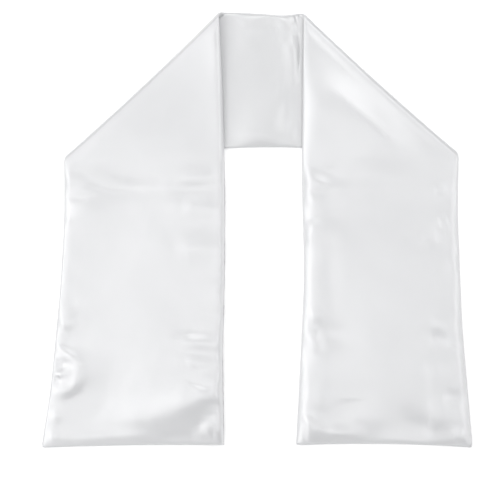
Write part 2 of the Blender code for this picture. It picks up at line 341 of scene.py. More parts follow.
def soft_ramp(distance, run):
    """Fall from 1 to 0 over a run, straight but for its soft ends, the last of them the sharper."""
    start = UPPER_BEND * run
    end = LOWER_BEND * run
    slope = 1.0 / (run - start / 2.0 - end / 2.0)
    over = np.clip(distance, 0.0, None)
    top = 1.0 - slope * np.where(over < start, over * over / (2.0 * start), over - start / 2.0)
    left = np.clip(run - distance, 0.0, end)
    bottom = slope * left * left / (2.0 * end)
    return np.where(run - distance < end, bottom, top)


def relief(creases, x, y):
    """What the creases add to the height at plan points."""
    total = np.zeros_like(x)
    shares = np.linspace(0.0, 1.0, CREASE_POINTS)
    for crease in creases:
        start = np.array((crease.x1, crease.y1))
        end = np.array((crease.x2, crease.y2))
        control = 2.0 * np.array((crease.xm, crease.ym)) - (start + end) / 2.0
        curve = [(1.0 - s) ** 2 * start + 2.0 * s * (1.0 - s) * control + s * s * end for s in shares]
        nearest = np.full(x.shape, np.inf)
        side = np.zeros_like(x)
        place = np.zeros_like(x)
        for number, (a, b) in enumerate(zip(curve, curve[1:])):
            line = b - a
            dx = x - a[0]
            dy = y - a[1]
            share = np.clip((dx * line[0] + dy * line[1]) / line.dot(line), 0.0, 1.0)
            distance = np.hypot(dx - share * line[0], dy - share * line[1])
            closer = distance < nearest
            nearest = np.where(closer, distance, nearest)
            side = np.where(closer, line[0] * dy - line[1] * dx, side)
            place = np.where(closer, (number + share) / (len(curve) - 1), place)
        narrow = min(crease.left, crease.right)
        blend = smoothstep(0.5 + side / (2.0 * np.hypot(*(end - start)) * narrow))
        reach = between(crease.right, crease.left, blend)
        taper = ease_from(CREASE_END, np.minimum(place, 1.0 - place) / CREASE_TAPER)
        total += crease.rise * taper * np.exp(-((nearest / reach) ** 2))
    return total


def swelling(swells, x, y):
    """What the swells add to the fullness at plan points."""
    total = np.zeros_like(x)
    for swell in swells:
        turn = math.radians(swell.turn)
        along = (x - swell.x) * math.cos(turn) + (y - swell.y) * math.sin(turn)
        across = (y - swell.y) * math.cos(turn) - (x - swell.x) * math.sin(turn)
        total += swell.rise * np.exp(-((along / swell.reach) ** 2) - (across / swell.width) ** 2)
    return total


def rumple(x, y, wavelength, seed):
    """A soft random surface between about -1 and 1."""
    random = np.random.RandomState(seed)
    total = np.zeros_like(x)
    for _ in range(RUMPLE_WAVES):
        angle = random.uniform(0.0, math.pi)
        length = wavelength * random.uniform(*RUMPLE_SPREAD)
        phase = random.uniform(0.0, 2.0 * math.pi)
        total += np.sin((x * math.cos(angle) + y * math.sin(angle)) * 2.0 * math.pi / length + phase)
    return total / RUMPLE_SCALE


def sections_at(sections, place):
    """The sections at an array of places from 0, the first row, to 1, the last, on a smooth curve."""
    known = np.array(sections)
    known = np.vstack((2.0 * known[0] - known[1], known, 2.0 * known[-1] - known[-2]))
    steps = len(sections) - 1
    place = np.asarray(place, float) * steps
    first = np.clip(place.astype(int), 0, steps - 1)
    t = (place - first)[..., None]
    a, b, c, d = (known[first + step] for step in range(4))
    return 0.5 * (
        2.0 * b + (c - a) * t + (2.0 * a - 5.0 * b + 4.0 * c - d) * t**2 + (3.0 * (b - c) + d - a) * t**3
    )


INNER = slice(0, 2)
OUTER = slice(2, 4)
BOW = slice(4, 6)


class ShoulderFold:
    """The diagonal line that an end is folded over on."""

    def __init__(self, end, spring):
        fold = np.array(end[-1])
        self.start = fold[INNER]
        line = fold[OUTER] - self.start
        self.length = np.hypot(*line)
        self.along = line / self.length
        self.inward = np.array((-self.along[1], self.along[0]))
        if self.inward[1] > 0.0:
            self.inward = -self.inward
        self.bow = fold[BOW]
        self.spring = spring

    def position(self, x, y):
        """How far points lie along the fold and inside it, with its bow."""
        dx = x - self.start[0]
        dy = y - self.start[1]
        along = dx * self.along[0] + dy * self.along[1]
        inside = dx * self.inward[0] + dy * self.inward[1]
        share = np.clip(along / self.length, 0.0, 1.0)
        return along, inside - np.hypot(*self.bow) * 4.0 * share * (1.0 - share)

    def lift(self, x, y):
        """How much the upper plies spring up over the neck band."""
        along, inside = self.position(x, y)
        share = np.clip(along / self.length, 0.0, 1.0)
        ends = between(self.spring.inner, self.spring.outer, smoothstep(share))
        most = between(ends, self.spring.middle, np.sin(math.pi * share) ** SPRING_POWER)
        return most * (1.0 - smoothstep((inside - TURN_DEPTH) / self.spring.run))


def place_at_depth(sections, edge, fold, depth, fold_end):
    """Where an edge of the band is this far inside the fold, at the last section or the first one."""
    near, far = (1.0, 0.5) if fold_end else (0.0, 0.5)
    for _ in range(40):
        middle = (near + far) / 2.0
        offset = sections_at(sections, middle)[edge] - fold.start
        if offset.dot(fold.inward) < depth:
            near = middle
        else:
            far = middle
    return near


def band_edge(edge, x):
    """Y of the neck band's upper or lower edge at an array of x."""
    known = np.array(NECK)[:, edge]
    return np.interp(x, known[:, 0], known[:, 1])


class Grid:
    """Rows and columns of one stretch: shares along and across it, and how far round the edge roll."""

    def __init__(self, length, width, step, hem):
        sizes = bpy.context.scene.stole_sizes
        roll = sizes.edge_roll / MM
        turns = np.linspace(0.0, math.pi / 2.0, ROLL_POINTS)
        rise = np.sin(turns)
        hem_edge = roll * (1.0 - np.cos(turns))
        # Along the sides the two plies meet in a fine groove, where the seam is.
        edge = hem_edge.copy()
        edge[0] = sizes.seam_groove / MM
        inner = np.arange(roll + 0.5, FINE_STRIP, FINE_STEP)
        middle = np.linspace(FINE_STRIP, width - FINE_STRIP, int((width - 2.0 * FINE_STRIP) / step))
        insets = np.concatenate((edge, inner, middle, width - inner[::-1], width - edge[::-1]))
        self.across = insets / width
        self.width = width
        self.side_roll = np.concatenate((rise, np.ones(len(insets) - 2 * len(rise)), rise[::-1]))
        if hem:
            rest = np.linspace(FINE_STRIP, length, int((length - FINE_STRIP) / step))
            rows = np.concatenate((hem_edge, inner, rest))
            self.row_roll = np.concatenate((rise, np.ones(len(rows) - len(rise))))
        else:
            rows = np.linspace(0.0, length, int(length / step))
            self.row_roll = np.ones(len(rows))
        self.along = rows / length


def end_grid(step):
    return Grid(MEAN_END_LENGTH, MEAN_END_WIDTH, step, True)


def neck_grid(step):
    return Grid(NECK_LENGTH, NECK_WIDTH, step, False)


class Stretch:
    """The plan of a flat stretch of the band between two slanting sections."""

    def __init__(self, sections, inner_span, outer_span):
        self.sections = sections
        self.inner_span = inner_span
        self.outer_span = outer_span

    def plan(self, along, across):
        """Plan points at arrays of shares along and across, as rows by columns by x and y."""
        inner = sections_at(self.sections, between(*self.inner_span, along))[:, None, INNER]
        outer = sections_at(self.sections, between(*self.outer_span, along))[:, None, OUTER]
        bow = sections_at(self.sections, along)[:, None, BOW]
        share = across[None, :, None]
        return between(inner, outer, share) + bow * 4.0 * share * (1.0 - share)


class End:
    """One hanging end, from its hem to round its shoulder fold."""

    def __init__(self, sections, spring, pillow, swells, creases, seed):
        self.sections = sections
        self.fold = ShoulderFold(sections, spring)
        self.pillow = pillow
        self.swells = swells
        self.creases = creases
        self.seed = seed
        inner_last = place_at_depth(sections, INNER, self.fold, TURN_DEPTH, True)
        outer_last = place_at_depth(sections, OUTER, self.fold, TURN_DEPTH, True)
        self.spans = ((0.0, inner_last), (0.0, outer_last))
        self.flat = Stretch(sections, *self.spans)
        self.hem_y = (sections[0].inner_y + sections[0].outer_y) / 2.0

    def lap_height(self, x, y):
        """Height of the lining where the end comes down off the neck band."""
        below_neck = band_edge(OUTER, x) - LAP_MARGIN - y
        return LAP_HEIGHT * soft_ramp(below_neck, LAP_RUN)

    def lining_height(self, x, y):
        """Height of the lining's lower side: on the table, or on the neck band and up at the fold."""
        return self.lap_height(x, y) + self.fold.lift(x, y)

    def hollow(self, x, y, across, width):
        """How far the face stands off its place on the lining."""
        pillow = self.pillow
        inner_inset = across * width
        outer_inset = (1.0 - across) * width
        hem_inset = y - self.hem_y
        inside = self.fold.position(x, y)[1] - TURN_DEPTH
        outer_share = smoothstep(across * FULL_STRETCH - FULL_SHIFT)
        full = between(pillow.inner_full, pillow.outer_full, outer_share)
        bridge = SPAN_SHARE * (LAP_HEIGHT - self.lap_height(x, y))
        full = full + bridge * ease_from(SPAN_AT_HEM, hem_inset / SPAN_RUN) + swelling(self.swells, x, y)
        full = full + pillow.low_full * (1.0 - smoothstep(hem_inset / LOW_RUN))
        full = full * ease_from(HEM_SHARE, hem_inset / HEM_GROWTH)
        full = full * ease_from(FOLD_SHARE, inside / FOLD_GROWTH)
        share = np.clip(self.fold.position(x, y)[0] / self.fold.length, 0.0, 1.0)
        puff = pillow.fold_puff * np.sin(math.pi * share**PUFF_LEAN) ** 2
        puff = puff * smoothstep(inside / pillow.fold_run)
        puff = puff * (1.0 - smoothstep((inside - PUFF_FLAT) / PUFF_FALL))
        inner_run = pillow.inner_run * (1.0 + RUN_SWING * self.waves(y, self.seed + 4))
        outer_run = pillow.outer_run * (1.0 + RUN_SWING * self.waves(y, self.seed + 5))
        sides = ease_out(inner_inset / inner_run, 3) * ease_out(outer_inset / outer_run, 3)
        ends = ease_out(hem_inset / pillow.hem_run, 3) * smoothstep(inside / FOLD_EASE)
        near_edge = ease_out(inner_inset / SEAM_FADE) * ease_out(outer_inset / SEAM_FADE)
        near_edge = near_edge * ease_out(hem_inset / HEM_FADE) * smoothstep(inside / FOLD_FADE)
        soft = sum(rise * rumple(x, y, span, self.seed + n) for n, (rise, span) in enumerate(END_RUMPLES))
        lumps = self.crest(y, inner_inset / pillow.crest_run, pillow.inner_crest, self.seed + 2)
        lumps = lumps + self.crest(y, outer_inset / OUTER_CREST_RUN, pillow.outer_crest, self.seed + 3)
        height = sides * (ends * (full + soft) + puff) + near_edge * (relief(self.creases, x, y) + lumps)
        sideways = np.minimum(inner_inset, outer_inset)
        inset = np.minimum(sideways, np.minimum(hem_inset, inside))
        softness = CONTACT_SOFTNESS * smoothstep(inset / CONTACT_RUN)
        return (height + np.sqrt(height * height + 4.0 * softness * softness)) / 2.0

    def waves(self, y, seed):
        """An uneven wave along a side seam, between about -1 and 1."""
        random = np.random.RandomState(seed)
        total = np.zeros_like(y)
        for _ in range(SEAM_WAVES):
            length = random.uniform(*SEAM_WAVE_LENGTHS)
            total += np.sin(y * 2.0 * math.pi / length + random.uniform(0.0, 2.0 * math.pi)) * length
        return total / SEAM_WAVE_SCALE * smoothstep((TAUT_Y - y) / TAUT_RUN)

    def crest(self, y, share, rise, seed):
        """The uneven crest beside a side seam, steep at the seam and slow to fall away from it."""
        uneven = np.clip(CREST_MEAN + CREST_SWING * self.waves(y, seed), *CREST_LIMITS)
        return rise * uneven * share * np.exp(1.0 - share)

    def surface(self, grid, is_face):
        """The ply's outer side, as rows by columns by x, y and z, from the hem to the end of the fold."""
        plan = self.flat.plan(grid.along, grid.across)
        x, y = plan[..., 0], plan[..., 1]
        roll = grid.row_roll[:, None] * grid.side_roll[None, :]
        across = np.broadcast_to(grid.across[None, :], x.shape)
        lower = self.lining_height(x, y)
        if is_face:
            z = lower + SEAM_HEIGHT / 2.0 * (1.0 + roll) + self.hollow(x, y, across, grid.width)
        else:
            z = lower + SEAM_HEIGHT / 2.0 * (1.0 - roll)
        flat = np.dstack((*self.round_corners(x, y, across, grid.width), z))
        return np.concatenate((flat, self.turn(grid, is_face, lower[-1])))

    def round_corners(self, x, y, across, width):
        """Plan points drawn in from the two hem corners, so that these are round."""
        outward = 1.0 if self.fold.start[0] > 0.0 else -1.0
        low = np.clip(CORNER_RADIUS - (y - self.hem_y), 0.0, CORNER_RADIUS)
        for inset, sign in ((across * width, outward), ((1.0 - across) * width, -outward)):
            side = np.clip(CORNER_RADIUS - inset, 0.0, CORNER_RADIUS)
            shrink = 1.0 - np.maximum(side, low) / np.maximum(np.hypot(side, low), 0.001)
            inside = (side > 0.0) & (low > 0.0)
            x = x + np.where(inside, sign * side * shrink, 0.0)
            y = y + np.where(inside, low * shrink, 0.0)
        return x, y

    def turn(self, grid, is_face, last_lower):
        """The rows that go round the shoulder fold, from the end's side to the neck band's."""
        side = grid.side_roll
        angles = np.linspace(0.0, math.pi, TURN_STEPS + 1)[1:, None]
        half = SEAM_HEIGHT / 2.0
        outward = half * side if is_face else -half * side
        inner_radius = (last_lower - SEAM_HEIGHT) / 2.0
        radius_z = inner_radius + half + outward
        radius_in = TURN_DEPTH - half + outward
        centre = SEAM_HEIGHT + inner_radius
        ends = []
        right_hand = self.fold.start[0] > 0.0
        for edge, span in zip((INNER, OUTER), self.spans):
            end_point = sections_at(self.sections, span[1])[edge] - self.fold.start
            neck_place = place_at_depth(NECK, edge, self.fold, TURN_DEPTH, right_hand)
            neck_point = sections_at(NECK, neck_place)[edge] - self.fold.start
            ends.append((end_point.dot(self.fold.along), neck_point.dot(self.fold.along)))
        share = angles / math.pi
        inner_along, outer_along = (between(*pair, share) for pair in ends)
        along = between(inner_along, outer_along, grid.across[None, :])
        inside = TURN_DEPTH - radius_in[None, :] * np.sin(angles)
        bow = 4.0 * grid.across * (1.0 - grid.across)
        fold = self.fold
        x, y = (
            fold.start[axis] + along * fold.along[axis] + inside * fold.inward[axis] + bow * fold.bow[axis]
            for axis in (0, 1)
        )
        z = centre[None, :] + radius_z[None, :] * np.cos(angles)
        return np.dstack((x, y, z))


class NeckBand:
    """The neck band, between the two shoulder folds and under the ends."""

    def __init__(self, left, right):
        spans = []
        for edge in (INNER, OUTER):
            first = place_at_depth(NECK, edge, left.fold, TURN_DEPTH + FOLD_GAP, False)
            last = place_at_depth(NECK, edge, right.fold, TURN_DEPTH + FOLD_GAP, True)
            spans.append((first, last))
        self.flat = Stretch(NECK, *spans)

    def hollow(self, x, y):
        """How far the lining stands off its place on the face."""
        insets = (
            band_edge(INNER, x) - y,
            y - band_edge(OUTER, x),
            x - np.interp(y, OPEN_Y, OPEN_LEFT),
            np.interp(y, OPEN_Y, OPEN_RIGHT) - x,
        )
        rise, wavelength = NECK_RUMPLE
        soft = rise * rumple(x, y, wavelength, NECK_SEED)
        full = NECK_FULLNESS + soft + swelling(NECK_SWELLS, x, y)
        creases = self.rise(insets, NECK_CREASE_RUNS) * relief(NECK_CREASES, x, y)
        return np.maximum(self.rise(insets, NECK_RUNS) * full + creases, 0.0)

    def rise(self, insets, runs):
        """The share of its height that the band has this far from its four edges."""
        upper, lower, left, right = (inset / run for inset, run in zip(insets, runs))
        return ease_out(upper) * ease_out(lower) * smoothstep(left) * smoothstep(right)

    def surface(self, grid, is_face):
        plan = self.flat.plan(grid.along, grid.across)
        x, y = plan[..., 0], plan[..., 1]
        roll = np.broadcast_to(grid.side_roll[None, :], x.shape)
        if is_face:
            z = SEAM_HEIGHT / 2.0 * (1.0 - roll)
        else:
            z = SEAM_HEIGHT / 2.0 * (1.0 + roll) + self.hollow(x, y)
        return np.dstack((x, y, z))


def left_end():
    return End(LEFT_END, LEFT_SPRING, LEFT_PILLOW, LEFT_SWELLS, LEFT_CREASES, 11)


def right_end():
    return End(RIGHT_END, RIGHT_SPRING, RIGHT_PILLOW, RIGHT_SWELLS, RIGHT_CREASES, 23)


def neck_band():
    return NeckBand(left_end(), right_end())


def metres(name, description, default, low, high):
    """A length in metres."""
    return bpy.props.FloatProperty(
        name=name, description=description, default=default, min=low, max=high, unit="LENGTH", precision=5
    )


def colour_property(name, description, default):
    """A colour of a surface."""
    return bpy.props.FloatVectorProperty(
        name=name, description=description, default=default, min=0.0, max=1.0, size=3, subtype="COLOR"
    )


class StoleSizes(bpy.types.PropertyGroup):
    """Sizes of the cloth."""

    ply_thickness: metres("Ply", "Thickness of one ply of satin", 0.0005, 0.0001, 0.001)
    edge_roll: metres("Edge roll", "Width of the round edge beside a seam", 0.0017, 0.0008, 0.003)
    seam_groove: metres("Seam groove", "How far the seam lies inside the edge", 0.00035, 0.0, 0.001)
    show_step: metres("Face step", "Space between the points of a ply that shows", 0.0012, 0.0008, 0.004)
    hidden_step: metres("Hidden step", "Space between the points of a hidden ply", 0.0024, 0.0008, 0.006)
    thread: metres("Thread", "Diameter of the sewing thread", 0.00025, 0.0001, 0.0006)
    stitch_pitch: metres("Stitch pitch", "Length of seam taken by one stitch", 0.0022, 0.001, 0.005)


class StoleLook(bpy.types.PropertyGroup):
    """Colours and finish of the satin."""

    face_colour: colour_property("Face", "Colour of the face satin", (0.682, 0.685, 0.697))
    lining_colour: colour_property("Lining", "Colour of the lining satin", (0.635, 0.639, 0.649))
    thread_colour: colour_property("Thread", "Colour of the sewing thread", (0.74, 0.745, 0.755))
    thread_pitch: metres("Weave pitch", "Space between threads of the weave", 0.00016, 0.00005, 0.001)


class StoleStudio(bpy.types.PropertyGroup):
    """Floor, lights and camera."""

    floor_colour: colour_property("Floor", "Colour of the floor", (0.93, 0.93, 0.93))
    table_glow: bpy.props.FloatProperty(
        name="Table glow", description="Strength of the light from behind the table", default=0.25, min=0.0,
        max=1.0,
    )
    camera_height: metres("Camera height", "Height of the camera over the table", 1.5, 0.5, 4.0)
    view_width: metres("View width", "Width of table that the picture shows", 0.350, 0.1, 2.0)


def new_tree(name, inputs, outputs, kind="ShaderNodeTree"):
    """A node group with named inputs and outputs."""
    tree = bpy.data.node_groups.new(name, kind)
    for label, socket_type, value in inputs:
        socket = tree.interface.new_socket(label, in_out="INPUT", socket_type=socket_type)
        if value is not None:
            socket.default_value = value
    for label, socket_type in outputs:
        tree.interface.new_socket(label, in_out="OUTPUT", socket_type=socket_type)
    return tree, tree.nodes.new("NodeGroupInput"), tree.nodes.new("NodeGroupOutput")


def link(tree, *pairs):
    """Links outputs to inputs, given in pairs."""
    for source, target in pairs:
        tree.links.new(source, target)


def set_inputs(node, values):
    """Sets a node's inputs by their names."""
    for label, value in values.items():
        node.inputs[label].default_value = value


def new_material(name):
    """A new material with its node tree and its shader."""
    material = bpy.data.materials.new(name)
    material.use_nodes = True
    return material, material.node_tree, material.node_tree.nodes["Principled BSDF"]


def new_object(name, data):
    """A new object in the scene."""
    made = bpy.data.objects.new(name, data)
    bpy.context.scene.collection.objects.link(made)
    return made


def math_node(tree, operation, first, second=None):
    """A math node with its inputs linked or set, and its output."""
    node = tree.nodes.new("ShaderNodeMath")
    node.operation = operation
    for socket, value in zip(node.inputs, (first, second)):
        if isinstance(value, bpy.types.NodeSocket):
            tree.links.new(value, socket)
        elif value is not None:
            socket.default_value = value
    return node.outputs[0]


# The weave: threads in a repeat, how many of them the next crossing is over, and how deep it lies.
WEAVE_REPEAT = 8.0
WEAVE_MOVE = 3.0
CROSSING_DIP = -0.6
# Range of the slow change in roughness.
ROUGHNESS_DRIFT = 0.06


def satin_weave_group():
    """Long floats of a satin weave with the pinned crossings between them, on a UV map in metres."""
    existing = bpy.data.node_groups.get("Satin weave")
    if existing:
        return existing
    tree, given, result = new_tree(
        "Satin weave",
        (("Vector", "NodeSocketVector", None), ("Pitch", "NodeSocketFloat", 0.00016)),
        (("Height", "NodeSocketFloat"),),
    )
    split = tree.nodes.new("ShaderNodeSeparateXYZ")
    tree.links.new(given.outputs["Vector"], split.inputs[0])
    across = math_node(tree, "DIVIDE", split.outputs["X"], given.outputs["Pitch"])
    along = math_node(tree, "DIVIDE", split.outputs["Y"], given.outputs["Pitch"])
    thread = math_node(tree, "FLOOR", across)
    pick = math_node(tree, "FLOOR", along)
    step = math_node(tree, "ADD", math_node(tree, "MULTIPLY", thread, WEAVE_MOVE), pick)
    turn = math_node(tree, "FLOORED_MODULO", step, WEAVE_REPEAT)
    crossing = math_node(tree, "LESS_THAN", turn, 0.5)
    rounding = math_node(tree, "SINE", math_node(tree, "MULTIPLY", math_node(tree, "FRACT", across), math.pi))
    dip = math_node(tree, "MULTIPLY", crossing, CROSSING_DIP)
    tree.links.new(math_node(tree, "ADD", rounding, dip), result.inputs["Height"])
    return tree


def cloth_drift_group():
    """Slow change in tone and gloss over a piece of cloth."""
    existing = bpy.data.node_groups.get("Cloth drift")
    if existing:
        return existing
    tree, given, result = new_tree(
        "Cloth drift",
        (
            ("Vector", "NodeSocketVector", None),
            ("Colour", "NodeSocketColor", None),
            ("Gloss", "NodeSocketFloat", 0.3),
            ("Amount", "NodeSocketFloat", 0.03),
        ),
        (("Colour", "NodeSocketColor"), ("Roughness", "NodeSocketFloat")),
    )
    slow = tree.nodes.new("ShaderNodeTexNoise")
    set_inputs(slow, {"Scale": 22.0, "Detail": 3.0})
    centred = math_node(tree, "SUBTRACT", slow.outputs["Fac"], 0.5)
    change = math_node(tree, "MULTIPLY", centred, given.outputs["Amount"])
    shade = math_node(tree, "ADD", change, 1.0)
    tint = tree.nodes.new("ShaderNodeVectorMath")
    tint.operation = "SCALE"
    drift = math_node(tree, "MULTIPLY", centred, ROUGHNESS_DRIFT)
    rough = math_node(tree, "ADD", given.outputs["Gloss"], drift)
    link(
        tree,
        (given.outputs["Vector"], slow.inputs["Vector"]),
        (given.outputs["Colour"], tint.inputs[0]),
        (shade, tint.inputs["Scale"]),
        (tint.outputs[0], result.inputs["Colour"]),
        (rough, result.inputs["Roughness"]),
    )
    return tree


# Finish of a ply: its material, its slot, the property with its colour, and its roughness.
Finish = namedtuple("Finish", "material slot colour gloss")

FACE = Finish("face_satin", "satin_face", "face_colour", 0.33)
LINING = Finish("lining_satin", "satin_lining", "lining_colour", 0.36)


def satin_material(finish):
    """White satin: a soft diffuse ground with a broad bright gloss and a fine weave."""
    existing = bpy.data.materials.get(finish.material)
    if existing:
        return existing
    look = bpy.context.scene.stole_look
    material, tree, shader = new_material(finish.material)
    set_inputs(shader, {"IOR": 2.0, "Specular IOR Level": 1.0, "Sheen Weight": 0.08, "Sheen Roughness": 0.4})
    uv = tree.nodes.new("ShaderNodeUVMap")
    uv.uv_map = "cloth"
    drift = tree.nodes.new("ShaderNodeGroup")
    drift.node_tree = cloth_drift_group()
    colour = (*getattr(look, finish.colour), 1.0)
    set_inputs(drift, {"Colour": colour, "Gloss": finish.gloss, "Amount": 0.05})
    weave = tree.nodes.new("ShaderNodeGroup")
    weave.node_tree = satin_weave_group()
    weave.inputs["Pitch"].default_value = look.thread_pitch
    bump = tree.nodes.new("ShaderNodeBump")
    set_inputs(bump, {"Strength": 0.12, "Distance": 0.00003, "Filter Width": 0.01})
    link(
        tree,
        (uv.outputs["UV"], drift.inputs["Vector"]),
        (uv.outputs["UV"], weave.inputs["Vector"]),
        (weave.outputs["Height"], bump.inputs["Height"]),
        (drift.outputs["Colour"], shader.inputs["Base Color"]),
        (drift.outputs["Roughness"], shader.inputs["Roughness"]),
        (bump.outputs["Normal"], shader.inputs["Normal"]),
    )
    return material


def cloth_object(name, points, shows_up, material):
    """A thin shell of cloth behind a grid of points in millimetres, with a UV map in metres."""
    rows, columns = points.shape[:2]
    corner = (np.arange(rows - 1)[:, None] * columns + np.arange(columns - 1)[None, :]).ravel()
    faces = np.stack((corner, corner + columns, corner + columns + 1, corner + 1), axis=1)
    flat = points.reshape(-1, 3)
    first = flat[faces[:, 1]] - flat[faces[:, 0]]
    second = flat[faces[:, 3]] - flat[faces[:, 0]]
    upward = np.cross(first, second)[:, 2].sum()
    if (upward > 0.0) != shows_up:
        faces = faces[:, ::-1]
    mesh = bpy.data.meshes.new(name)
    mesh.from_pydata((flat * MM).tolist(), [], faces.tolist())
    along, across = (
        np.concatenate(([0.0], np.cumsum(np.linalg.norm(np.diff(line, axis=0), axis=1))))
        for line in (points[:, columns // 2], points[rows // 2])
    )
    cloth_uv = np.dstack(np.broadcast_arrays(across[None, :], along[:, None])).reshape(-1, 2) * MM
    layer = mesh.uv_layers.new(name="cloth")
    layer.data.foreach_set("uv", cloth_uv[faces.ravel()].astype(np.float32).ravel())
    mesh.shade_smooth()
    mesh.materials.append(material)
    piece = new_object(name, mesh)
    wall = piece.modifiers.new("ply", "SOLIDIFY")
    wall.thickness = bpy.context.scene.stole_sizes.ply_thickness
    wall.offset = -1.0
    return piece


def thread_material():
    material, _, shader = new_material("thread")
    set_inputs(shader, {"Base Color": (*bpy.context.scene.stole_look.thread_colour, 1.0), "Roughness": 0.5})
    return material


# Share of its pitch that a stitch shows.
STITCH_SHARE = 0.8


def stitch_group():
    """Short stitches of round thread, one after another along a line of edges."""
    tree, given, result = new_tree(
        "Seam stitches",
        (
            ("Geometry", "NodeSocketGeometry", None),
            ("Pitch", "NodeSocketFloat", 0.0022),
            ("Thread", "NodeSocketFloat", 0.00025),
            ("Material", "NodeSocketMaterial", None),
        ),
        (("Geometry", "NodeSocketGeometry"),),
        "GeometryNodeTree",
    )
    path = tree.nodes.new("GeometryNodeMeshToCurve")
    places = tree.nodes.new("GeometryNodeCurveToPoints")
    places.mode = "LENGTH"
    stitch = tree.nodes.new("GeometryNodeCurvePrimitiveLine")
    outline = tree.nodes.new("GeometryNodeCurvePrimitiveCircle")
    outline.inputs["Resolution"].default_value = 6
    thread = tree.nodes.new("GeometryNodeCurveToMesh")
    thread.inputs["Fill Caps"].default_value = True
    sewn = tree.nodes.new("GeometryNodeInstanceOnPoints")
    plain = tree.nodes.new("GeometryNodeRealizeInstances")
    coloured = tree.nodes.new("GeometryNodeSetMaterial")
    half_length = math_node(tree, "MULTIPLY", given.outputs["Pitch"], STITCH_SHARE / 2.0)
    for socket, sign in (("Start", -1.0), ("End", 1.0)):
        tip = tree.nodes.new("ShaderNodeCombineXYZ")
        link(
            tree,
            (math_node(tree, "MULTIPLY", half_length, sign), tip.inputs["Z"]),
            (tip.outputs[0], stitch.inputs[socket]),
        )
    radius = math_node(tree, "MULTIPLY", given.outputs["Thread"], 0.5)
    link(
        tree,
        (radius, outline.inputs["Radius"]),
        (given.outputs["Geometry"], path.inputs["Mesh"]),
        (path.outputs["Curve"], places.inputs["Curve"]),
        (given.outputs["Pitch"], places.inputs["Length"]),
        (stitch.outputs["Curve"], thread.inputs["Curve"]),
        (outline.outputs["Curve"], thread.inputs["Profile Curve"]),
        (places.outputs["Points"], sewn.inputs["Points"]),
        (places.outputs["Rotation"], sewn.inputs["Rotation"]),
        (thread.outputs["Mesh"], sewn.inputs["Instance"]),
        (sewn.outputs["Instances"], plain.inputs["Geometry"]),
        (plain.outputs["Geometry"], coloured.inputs["Geometry"]),
        (given.outputs["Material"], coloured.inputs["Material"]),
        (coloured.outputs["Geometry"], result.inputs["Geometry"]),
    )
    return tree


def sew(name, paths):
    """A plain mesh of stitches along paths of points in millimetres."""
    sizes = bpy.context.scene.stole_sizes
    mesh = bpy.data.meshes.new(name)
    edges = []
    first = 0
    for path in paths:
        edges.extend((number, number + 1) for number in range(first, first + len(path) - 1))
        first += len(path)
    mesh.from_pydata((np.concatenate(paths) * MM).tolist(), edges, [])
    piece = new_object(name, mesh)
    group = stitch_group()
    values = {"Pitch": sizes.stitch_pitch, "Thread": sizes.thread, "Material": thread_material()}
    stitches = piece.modifiers.new("stitches", "NODES")
    stitches.node_group = group
    for label, value in values.items():
        stitches[group.interface.items_tree[label].identifier] = value
    graph = bpy.context.evaluated_depsgraph_get()
    piece.data = bpy.data.meshes.new_from_object(piece.evaluated_get(graph))
    piece.modifiers.clear()
    if not piece.data.polygons:
        raise RuntimeError(name + " came out empty")
    return piece


def add_ply(name, node, finish, points, shows_up):
    """Builds a ply, ties it to the frame and hides the imported part that it stands for."""
    piece = cloth_object(name, points, shows_up, satin_material(finish))
    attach(piece, "root")
    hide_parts(node)


def add_end(side, end):
    """Builds the face and the lining of one end."""
    sizes = bpy.context.scene.stole_sizes
    lining_node = side + "_arm_lining"
    points = end.surface(end_grid(sizes.show_step / MM), True)
    add_ply(side + "_end_face", side + "_arm_face", FACE, points, True)
    points = end.surface(end_grid(sizes.hidden_step / MM), False)
    add_ply(side + "_end_lining", lining_node, LINING, points, False)


class STOLE_OT_left_end(bpy.types.Operator):
    """Build the left end: its face and lining, from the hem to round the shoulder fold"""

    bl_idname = "stole.left_end"
    bl_label = "Left End"

    def execute(self, context):
        add_end("left", left_end())
        return {"FINISHED"}


class STOLE_OT_right_end(bpy.types.Operator):
    """Build the right end: its face and lining, from the hem to round the shoulder fold"""

    bl_idname = "stole.right_end"
    bl_label = "Right End"

    def execute(self, context):
        add_end("right", right_end())
        return {"FINISHED"}


class STOLE_OT_neck_band(bpy.types.Operator):
    """Build the neck band: its face on the table and its lining, which shows between the ends"""

    bl_idname = "stole.neck_band"
    bl_label = "Neck Band"

    def execute(self, context):
        sizes = context.scene.stole_sizes
        band = neck_band()
        points = band.surface(neck_grid(sizes.hidden_step / MM), True)
        add_ply("neck_band_face", "neck_face", FACE, points, False)
        points = band.surface(neck_grid(sizes.show_step / MM), False)
        add_ply("neck_band_lining", "neck_lining", LINING, points, True)
        return {"FINISHED"}


class STOLE_OT_seams(bpy.types.Operator):
    """Sew the seam along both sides, in the groove where the plies meet, and just inside both hems"""

    bl_idname = "stole.seams"
    bl_label = "Seams"

    def execute(self, context):
        step = context.scene.stole_sizes.hidden_step / MM
        depth = context.scene.stole_sizes.seam_groove / MM
        paths = []
        for end in (left_end(), right_end()):
            points = np.delete(end.surface(end_grid(step), True), NOT_SEWN, axis=0)
            hem = np.delete(points[0], NOT_SEWN + (-2, -3), axis=0) + (0.0, depth, 0.0)
            paths.append(np.concatenate((points[:0:-1, 0], hem, points[1:, -1])))
        points = neck_band().surface(neck_grid(step), True)
        paths.extend((points[:, 0], points[:, -1]))
        stitches = sew("seam_stitches", paths)
        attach(stitches, "root")
        return {"FINISHED"}


# Soft panels, in metres and watts: their place, the point on the table that they face, their sides and power.
Light = namedtuple("Light", "name x y z face_x face_y width height power")

